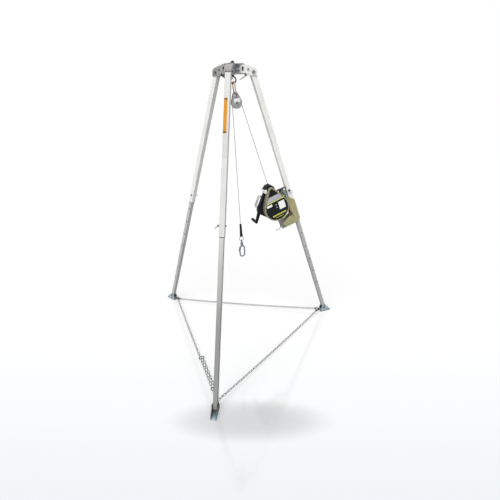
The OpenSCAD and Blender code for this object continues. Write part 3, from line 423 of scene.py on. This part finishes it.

# Legs: square aluminium tubes, the upper ones bright and the lower ones greyer, with nylon bushes
# at the mouths, dark spring pins with pull rings and folding latches. The front tube carries a
# plain strip of orange film with brown ends, and a blank film below it.
TONE, DARKER, BRIGHTER, SHINIER = (1.0, 0.99, 0.96), 0.87, 1.1, 1.3
FOOT_SHADE_FROM, FOOT_SHADE_TO, HOLE_WALL = -1.25, -2.0, 0.0186
TUBE_HALF, FILM_CORNER = 0.0225, 0.002
nylon = finish("nylon", (0.030, 0.030, 0.032), (0.016, 0.016, 0.017), 40, 0.0, 0.5, 500, 0.0002, spec=0.3)
pin_zinc = finish("pin_zinc", (0.52, 0.52, 0.52), (0.28, 0.28, 0.29), 60, 0.6, 0.30, 700, 0.0002)


def leg(azimuth):
    return radial(azimuth) @ Matrix.Translation((HINGE_R, 0, HINGE_Z)) @ turn(-LEAN, "Y")


def toned(level):
    return [level * c for c in TONE]


# Tones per leg: the front tubes are painted darker than the side ones as painted shade, and each lower tube
# darkens towards the foot as painted shade, most on the front leg.
for side, azimuth, upper, lower, foot_shade in (
    ("front", FRONT, 0.57, 0.52, 0.48),
    ("left", LEFT, 0.82, 0.56, 0.85),
    ("right", RIGHT, 0.86, 0.50, 0.85),
):
    bright = finish("bright_tube_" + side, toned(upper), toned(DARKER * upper), 5, 0.05, 0.50, 520, 0.00012,
                    rub_and_glint=toned(BRIGHTER * upper), drawn=leg(azimuth), spec=0.15)
    dull = finish("dull_tube_" + side, toned(lower), toned(DARKER * lower), 5, 0.05, 0.48, 520, 0.00015,
                  rub_and_glint=toned(SHINIER * lower), drawn=leg(azimuth), spec=0.2,
                  fade=(FOOT_SHADE_FROM, FOOT_SHADE_TO, (foot_shade, foot_shade, foot_shade)), hollow=HOLE_WALL)
    dress(bright, "upper_leg_" + side)
    dress(dull, "lower_leg_" + side)
    dress(nylon, "glide_bush_" + side)
    dress(pin_zinc, "leg_latch_" + side)
    dress(bolt_steel, "lock_pin_" + side)
orange_film, brown_film, blank_film = [
    finish(name, pale, dark, patch, 0.0, 0.50, 700, 0.0001, spec=0.2) for name, pale, dark, patch in (
        ("orange_film", (0.56, 0.235, 0.004), (0.48, 0.200, 0.003), 18),
        ("brown_film", (0.12, 0.05, 0.010), (0.08, 0.035, 0.007), 18),
        ("blank_film", (0.55, 0.545, 0.53), (0.49, 0.485, 0.47), 60),
    )]
for name, across, top, low, wide, paint in (
    ("front_tape", -0.0075, 0.208, 0.472, 0.027, orange_film),
    ("front_tape_head", -0.0075, 0.211, 0.221, 0.0262, brown_film),
    ("front_tape_foot", -0.0075, 0.458, 0.469, 0.0262, brown_film),
    ("front_blank", 0.0, 0.489, 0.655, 0.033, blank_film),
):
    up = FILM if paint is brown_film else 0.0
    at = Matrix.Translation((TUBE_HALF + up, across, -(top + low) / 2)) @ turn(90, "Z")
    plate(name, leg(FRONT) @ at, rounded(wide, low - top, FILM_CORNER), FILM, paint,
          "leg_front")

# Feet: shoes bent from thick steel plate, blued, with a welded ring for the chain and one
# pivot bolt each. The front shoe is nearly black down to its worn sole.
SOLE_TOP = 0.0095
blued_steel = finish("blued_steel", (0.36, 0.43, 0.48), (0.20, 0.26, 0.30), 26, 0.3, 0.38, 420, 0.0003,
                     rub_and_glint=(0.62, 0.74, 0.80))
black_steel = finish("black_steel", (0.032, 0.040, 0.048), (0.014, 0.018, 0.022), 26, 0.3, 0.40, 420, 0.0003,
                     rub_and_glint=(0.12, 0.15, 0.17), split=(radial(FRONT), (0, 0, -1), -SOLE_TOP, (0.50, 0.62, 0.68)))
for side, paint in (("front", black_steel), ("left", blued_steel), ("right", blued_steel)):
    dress(paint, "foot_" + side)
    dress(bolt_steel, "foot_bolt_" + side)

# Chain: welded zinc links, alternately flat and upright, from ring to ring round the feet,
# with a spare end held beside the front stretch by two dark oval rings. Each half stretch has
# a near part, left unattached, and a far part on the upper leg.
WIRE, BOW, LINK_PITCH, LINK_PLAY, WELD, WELD_HALF = 0.005, 0.008, 0.036, 0.0005, 0.0004, 0.0022
RING_Z, TIE_H, SAG, RING_BACK = 0.036, 0.0075, 0.016, 0.0052
FOOT_R, RING_IN, RING_MEAN = AXIS_Y - joints["foot_tilt_front"]["pos_m"][1], 0.056, 0.017
HOOK_R = FOOT_R - RING_IN - math.sqrt(RING_MEAN ** 2 - TIE_H ** 2)
THIRD = 120
RUN = 2 * HOOK_R * math.sin(math.radians(THIRD / 2)) + 2 * RING_BACK
LINKS = 2 * math.floor(RUN / LINK_PITCH / 2) + 1
PITCH = RUN / LINKS
STRAIGHT = PITCH + LINK_PLAY + WIRE - 2 * BOW
TAIL_FROM, TAIL_LINKS, TAIL_OFF = 4, 13, 2 * BOW + WIRE + 0.002
TIE_BOW, TIE_WIRE = BOW + WIRE + 0.0015, WIRE + 0.001
# The zinc is painted in pale and near-black patches as painted highlights and painted shade on the links.
chain_zinc_glint_and_shade = finish("chain_zinc_glint_and_shade", (0.30, 0.30, 0.305), (0.010, 0.010, 0.011), 34, 0.3, 0.34, 900, 0.0002)
dark_ring = finish("dark_ring", (0.030, 0.030, 0.033), (0.012, 0.012, 0.014), 60, 0.3, 0.40, 600, 0.0002)


def sag(i):
    t = (i + 0.5) / LINKS
    return TIE_H * (1 - 2 * t) - 4 * SAG * t * (1 - t)


def oval(straight, bow, wire, steps=8, sides=10, weld=0.0):
    """A closed oval of round wire in X and Y, thicker where one long side is welded."""
    rim = [(straight / 2 + bow * math.cos(a), bow * math.sin(a))
           for a in [math.pi * (k / steps - 0.5) for k in range(steps + 1)]]
    rim += [(WELD_HALF, bow), (0.0, bow), (-WELD_HALF, bow)]
    rim += [(-straight / 2 - bow * math.cos(a), -bow * math.sin(a))
            for a in [math.pi * (k / steps - 0.5) for k in range(steps + 1)]]
    count, points = len(rim), []
    for i, (x, y) in enumerate(rim):
        before, after = rim[i - 1], rim[(i + 1) % count]
        along = Vector((after[0] - before[0], after[1] - before[1], 0)).normalized()
        out = Vector((along.y, -along.x, 0))
        r = wire / 2 + (weld if i == steps + 2 else 0)
        points += [Vector((x, y, 0)) + r * (math.cos(2 * math.pi * j / sides) * out
                   + math.sin(2 * math.pi * j / sides) * Vector((0, 0, 1))) for j in range(sides)]
    return points, tube_faces(count, sides, closed=True)


def link_place(azimuth, i, off=0.0):
    slope = math.degrees(math.atan2(sag(i + 0.5) - sag(i - 0.5), PITCH))
    return (radial(azimuth) @ Matrix.Translation((HOOK_R, 0, RING_Z)) @ turn(90 + THIRD / 2, "Z")
            @ Matrix.Translation(((i + 0.5) * PITCH - RING_BACK, off, sag(i))) @ turn(-slope, "Y"))


def string(name, places, shape, paint):
    points, faces = [], []
    shape_points, shape_faces = shape
    for at in places:
        start = len(points)
        points += [at @ p for p in shape_points]
        faces += [tuple(start + k for k in face) for face in shape_faces]
    return solid(name, points, faces, paint)


link = oval(STRAIGHT, BOW, WIRE, weld=WELD)
HALF = (LINKS - 1) // 2
NEAR = 8
for side, azimuth, before in (("front", FRONT, LEFT), ("left", LEFT, RIGHT), ("right", RIGHT, FRONT)):
    for end, first, ids, far in (("out", azimuth, range(0, HALF + 1), azimuth + THIRD),
                                 ("back", before, range(LINKS - 1, HALF, -1), azimuth - THIRD)):
        near, rest = [
            string(f"chain_{side}_{end}_{part}", [link_place(first, i) @ turn(i % 2 * 90, "X") for i in some],
                   link, chain_zinc_glint_and_shade) for part, some in (("near", ids[:NEAR]), ("far", ids[NEAR:]))]
        for piece in (near, rest):
            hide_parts("chain_" + side)
        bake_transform(near)
        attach(rest, "leg_" + side)
        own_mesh(rest)
last = LINKS - 1 - TAIL_FROM
tail = string("chain_spare", [link_place(LEFT, last - i, TAIL_OFF) @ turn((last - i) % 2 * 90, "X")
                              for i in range(TAIL_LINKS)], link, chain_zinc_glint_and_shade)
ties = string("chain_ties", [link_place(LEFT, k, TAIL_OFF / 2) @ turn(90, "Y") @ turn(90, "Z")
                             for k in (last, last + 1 - TAIL_LINKS)],
              oval(TAIL_OFF, TIE_BOW, TIE_WIRE), dark_ring)
for piece in (tail, ties):
    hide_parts("chain_tail")
    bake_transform(piece)
for side, azimuth, before in (("left", LEFT, RIGHT), ("right", RIGHT, FRONT)):
    piece = string("chain_joint_" + side, [link_place(azimuth, 0), link_place(before, LINKS - 1)],
                   oval(STRAIGHT, TIE_BOW, TIE_WIRE), dark_ring)
    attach(piece, "lower_" + side)

# Winch bracket: a yellow chromated steel channel pinned to the right leg, with plain pins
# and two clamp bolts. The film turns bluish green along the edges and on the upper lug. A
# brown stay runs from the housing to the leg, and a brown block fills the lower corner.
winch = leg(RIGHT) @ Matrix.Translation((-WINCH_IN, 0, -WINCH_S))
chromate = finish("chromate", (0.40, 0.34, 0.16), (0.27, 0.25, 0.12), 9, 0.2, 0.42, 300, 0.0002,
                  rub_and_glint=(0.42, 0.54, 0.52), rub_width=0.004, stain=(0.30, 0.32, 0.17),
                  split=(winch, (0, 0, 1), 0.060, (0.19, 0.24, 0.22)))
brown_steel = finish("brown_steel", (0.075, 0.045, 0.038), (0.040, 0.024, 0.021), 40, 0.2, 0.40, 500, 0.0002,
                     rub_and_glint=(0.20, 0.15, 0.14))
teal_edge = finish("teal_edge", (0.46, 0.56, 0.58), (0.20, 0.28, 0.28), 60, 0.2, 0.40, 500, 0.0002)
red_cap = finish("red_cap", (0.46, 0.18, 0.15), (0.34, 0.12, 0.10), 40, 0.0, 0.40, 500, 0.0002)
dress(chromate, "winch_bracket")
dress(bolt_steel, "winch_fasteners")
for name, x, y, z, long, high, thick, tilt, paint in (
    ("bracket_stay", 0.103, -0.019, 0.153, 0.110, 0.015, 0.008, 4.0, brown_steel),
    ("bracket_stay_end", 0.146, -0.027, 0.153, 0.017, 0.017, 0.004, 4.0, bolt_steel),
    ("corner_block", 0.119, -0.0275, -0.130, 0.046, 0.024, 0.010, 28.0, brown_steel),
    ("bracket_crease", 0.155, -0.0275, -0.080, 0.004, 0.290, 0.0006, -9.5, teal_edge),
    ("corner_cap", 0.131, -0.0275, -0.096, 0.009, 0.034, 0.008, -18.0, red_cap),
):
    plate(name, winch @ Matrix.Translation((x, y, z)) @ turn(tilt, "Y"),
          rounded(long, high, min(long, high) / 4), thick, paint, "leg_right")

# Winch housing: two die-cast halves with yellow beads round the rim, a black face plate and a
# black nylon line guide with a bright block on its corner. The rear half is black, with a
# wire carry handle in a grey grip. The face carries plain films, a plate and two screws.
FACE_Y, HOUSE_R, NOSE_R, NOSE_Z = 0.050, 0.130, 0.034, 0.186
BEAD, BEAD_STEPS, BEAD_SIDES = 0.0013, 24, 8
cast_metal = finish("cast_metal", (0.23, 0.205, 0.20), (0.14, 0.125, 0.125), 30, 0.2, 0.46, 500, 0.0003,
                    rub_and_glint=(0.40, 0.37, 0.34), rub_width=0.003)
black_case = finish("black_case", (0.010, 0.010, 0.011), (0.005, 0.005, 0.0055), 40, 0.0, 0.50, 600, 0.0003,
                    rub_and_glint=(0.04, 0.04, 0.04), spec=0.12)
black_face = finish("black_face", (0.009, 0.010, 0.012), (0.005, 0.0055, 0.0065), 30, 0.0, 0.36, 900, 0.0001,
                    spec=0.12)
grey_film = finish("grey_film", (0.46, 0.45, 0.49), (0.37, 0.36, 0.40), 60, 0.0, 0.42, 800, 0.0001)
yellow_film = finish("yellow_film", (0.62, 0.62, 0.10), (0.50, 0.50, 0.07), 60, 0.0, 0.42, 800, 0.0001)
dress(cast_metal, "winch_front_cover")
dress(black_case, "winch_rear_cover", "rope_guide")
dress(black_face, "winch_face_plate")
dress(pin_zinc, "carry_handle")
taper = math.asin((HOUSE_R - NOSE_R) / NOSE_Z)


def rim_line(inset):
    """The housing's pear outline, a given distance inside its edge, as points on X and Z."""
    line = []
    for centre, r, begin, sweep in ((NOSE_Z, NOSE_R, taper, math.pi - 2 * taper),
                                    (0.0, HOUSE_R, math.pi - taper, math.pi + 2 * taper)):
        angles = [begin + sweep * i / BEAD_STEPS for i in range(BEAD_STEPS + 1)]
        line += [((r - inset) * math.cos(a), centre + (r - inset) * math.sin(a)) for a in angles]
    return line


def wire_section(sides, r):
    return [(2 * math.pi * j / sides, r) for j in range(sides)]


winch_front = (winch.to_3x3() @ Vector((0, 1, 0))).normalized()
for name, inset, out in (("rim_bead", 0.0015, 0.048), ("face_bead", 0.0125, 0.0485)):
    path = [winch @ Vector((x, -out, z)) for x, z in rim_line(inset)]
    bead = solid(name, tube_rings(path, winch_front, lambda i: wire_section(BEAD_SIDES, BEAD), True),
                 tube_faces(len(path), BEAD_SIDES, closed=True), yellow_film)
    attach(bead, "leg_right")
for name, at, facing, wide, high, corner, thick in (
    ("guide_block", (-0.050, -0.027, 0.198), 0, 0.026, 0.036, 0.004, 0.004),
    ("guide_block_side", (-0.056, 0.004, 0.199), -90, 0.052, 0.032, 0.004, 0.008),
):
    plate(name, winch @ Matrix.Translation(at) @ turn(facing, "Z"), rounded(wide, high, corner), thick,
          pale_film, "leg_right")
BAND, BAND_Z = [(-0.048, 0.134), (-0.091, 0.084), (0.088, 0.084), (0.057, 0.134)], 0.109
for name, x, z, rim, paint in (
    ("face_band", 0.0, BAND_Z, [(u, v - BAND_Z) for u, v in BAND], grey_film),
    ("face_band_edge", -0.002, 0.0785, rounded(0.188, 0.009, 0.002), yellow_film),
    ("face_plate_white", 0.058, 0.014, rounded(0.066, 0.080, 0.004), pale_film),
    ("face_plate_small", -0.067, 0.051, rounded(0.055, 0.023, 0.002), pale_film),
    ("face_bar_long", 0.006, -0.066, rounded(0.150, 0.013, 0.002), yellow_film),
    ("face_bar_short", 0.0, -0.092, rounded(0.090, 0.005, 0.001), yellow_film),
):
    plate(name, winch @ Matrix.Translation((x, -FACE_Y, z)), rim, FILM, paint, "leg_right")


def lathe(name, at, profile, paint, body, steps=40):
    """A turned piece about a frame's Z from pairs of height and radius."""
    points = [at @ Vector((r * math.cos(2 * math.pi * j / steps), r * math.sin(2 * math.pi * j / steps), z))
              for z, r in profile for j in range(steps)]
    piece = solid(name, points, tube_faces(len(profile), steps), paint)
    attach(piece, body)
    return piece


LOBE_R, LOBE_ANGLE = 0.138, math.radians(170)
NOSE, LOBE = Vector((0, 0, NOSE_Z)), LOBE_R * Vector((math.cos(LOBE_ANGLE), 0, math.sin(LOBE_ANGLE)))
BAIL_DOWN, BAIL_UP, BAIL_OUT, BAIL_Y = 0.034, 0.046, 0.028, 0.028
slope = (NOSE - LOBE).normalized()
off_slope = Vector((-slope.z, 0, slope.x))
bail_bar = ((NOSE + LOBE) / 2 - BAIL_DOWN * slope + (BAIL_UP + BAIL_OUT) * off_slope
            + Vector((0, BAIL_Y, 0)))
GRIP = [(-0.050, 0.0036), (-0.050, 0.0085), (-0.047, 0.0105), (0.0, 0.0115), (0.047, 0.0105),
        (0.050, 0.0085), (0.050, 0.0036)]
grip_paint = finish("grip_grey", (0.42, 0.42, 0.41), (0.32, 0.32, 0.31), 40, 0.0, 0.46, 500, 0.0002, spec=0.3)
grip_tilt = 90 - math.degrees(math.atan2(slope.z, slope.x))
lathe("handle_grip", winch @ Matrix.Translation(bail_bar) @ turn(grip_tilt, "Y"), GRIP, grip_paint, "bail",
      steps=24)
SCREWS_Z = (0.039, 0.009)
SCREW = [(0.0, 0.0062), (0.0016, 0.0062), (0.0026, 0.0054), (0.0031, 0.0040), (0.0024, 0.0022)]
for k, z in enumerate(SCREWS_Z):
    lathe(f"face_screw_{k}", winch @ Matrix.Translation((0, -FACE_Y, z)) @ turn(90, "X"), SCREW, pin_zinc,
          "leg_right", steps=24)

# Drum and gears inside the housing: a turned drum with the wound line, a big spur wheel, the
# fixed shaft and the flat return spring.
WRAP_R, WRAP_FROM, WRAPS, WRAP_STEPS, WRAP_SIDES = 0.064, -0.0296, 8, 48, 10
HUB_R, HUB_FROM, HUB_TO = 0.0522, -0.0318, 0.0078
dress(pin_zinc, "winch_drum", "drum_shaft")
dress(chromate, "drum_gear")
dress(bolt_steel, "retract_spring")
drum_axis = winch @ turn(-90, "X")
coil_r = WRAP_R - LINE_D / 2
coil = [drum_axis @ Vector((coil_r * math.cos(a), coil_r * math.sin(a),
                            WRAP_FROM + LINE_D * a / (2 * math.pi)))
        for a in [2 * math.pi * i / WRAP_STEPS for i in range(WRAP_STEPS * (WRAPS - 1) + 1)]]
coil_side = (drum_axis.to_3x3() @ Vector((0, 0, 1))).normalized()
wraps = solid("drum_wraps", tube_rings(coil, coil_side, lambda i: wire_section(WRAP_SIDES, LINE_D / 2)),
              tube_faces(len(coil), WRAP_SIDES), wire_zinc)
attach(wraps, "drum")
under_r = WRAP_R - LINE_D
under = lathe("drum_under", drum_axis,
              [(HUB_FROM, HUB_R), (HUB_FROM, under_r), (HUB_TO, under_r), (HUB_TO, HUB_R)],
              wire_zinc, "drum", steps=64)
for piece in (wraps, under):
    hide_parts("drum_line")

# Crank: a zinc plated steel shaft with its pinion, a black forged arm on the shaft's outer end
# and a black plastic grip that turns on the arm.
dress(pin_zinc, "crank_shaft")
dress(black_case, "crank_arm", "crank_grip")

# Hook end: a black shrink sleeve over the ferrule, a zinc thimble, a swivel eye and a forged
# snap hook with its sprung gate, which carries a lever along its outer side.
SLEEVE = ((-0.139, 0.0105), (-0.1385, 0.0140), (-0.137, 0.0145), (-0.124, 0.0140), (-0.120, 0.0128),
          (-0.079, 0.0118), (-0.012, 0.0100), (-0.009, 0.0085), (-0.009, 0.0026))
FOLD_STEP, FOLD_DEPTH = 0.003, 0.00018
THIMBLE_Z, THIMBLE_R, THIMBLE_BAR = -0.162, 0.022, 0.006
THIMBLE_STEPS, THIMBLE_SIDES, THIMBLE_PINCH, THIMBLE_GROOVE = 64, 12, 0.22, 0.35
GATE_FOOT, GATE_PIN = Vector((-0.024, 0, -0.2995)), Vector((-0.012, 0, -0.2495))
LEVER, LEVER_OUT, LEVER_THICK, LEVER_LIP = (0.011, 0.050, 0.004), 0.0085, 0.014, 0.001
hook_steel = finish("hook_steel", (0.20, 0.225, 0.245), (0.09, 0.105, 0.115), 60, 0.6, 0.34, 600, 0.0002,
                    rub_and_glint=(0.66, 0.70, 0.73))
dress(hook_steel, "hook_swivel", "snap_hook", "hook_gate")
at_hook = plane @ Matrix.Translation(drop_end) @ turn(-DROP_LEAN, "Y")
folds = []
for (z0, r0), (z1, r1) in zip(SLEEVE, SLEEVE[1:]):
    count = max(1, round(abs(z1 - z0) / FOLD_STEP))
    folds += [(z0 + (z1 - z0) * i / count, r0 + (r1 - r0) * i / count + FOLD_DEPTH * (i % 2))
              for i in range(count)]
sleeve = lathe("line_sleeve", at_hook, folds + [SLEEVE[-1]], black_case, "line_end")
loop = []
for i in range(THIMBLE_STEPS):
    a = 2 * math.pi * i / THIMBLE_STEPS
    pinch = 1 - THIMBLE_PINCH * max(0.0, -math.cos(a)) ** 2
    loop.append(at_hook @ Vector((THIMBLE_R * math.sin(a) * pinch, 0, THIMBLE_Z - THIMBLE_R * math.cos(a))))
loop_side = (at_hook.to_3x3() @ Vector((0, 1, 0))).normalized()
rings = []
for i, p in enumerate(loop):
    along = (loop[(i + 1) % THIMBLE_STEPS] - loop[i - 1]).normalized()
    out = loop_side.cross(along).normalized()
    for a, r in wire_section(THIMBLE_SIDES, THIMBLE_BAR / 2):
        groove = 1 - THIMBLE_GROOVE * max(0.0, math.sin(a)) ** 4
        rings.append(p + r * (math.cos(a) * loop_side + groove * math.sin(a) * out))
thimble = solid("line_thimble", rings, tube_faces(THIMBLE_STEPS, THIMBLE_SIDES, closed=True), hook_steel)
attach(thimble, "line_end")
for piece in (sleeve, thimble):
    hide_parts("line_ferrule")
gate_way = (GATE_PIN - GATE_FOOT).normalized()
gate_tilt = math.degrees(math.atan2(gate_way.x, gate_way.z))
lever_at = ((GATE_FOOT + GATE_PIN) / 2 + LEVER_OUT * Vector((-gate_way.z, 0, gate_way.x))
            + Vector((0, LEVER_THICK / 2, 0)))
plate("gate_lever", at_hook @ Matrix.Translation(lever_at) @ turn(gate_tilt, "Y"), rounded(*LEVER),
      LEVER_THICK, hook_steel, "gate", lip=LEVER_LIP)
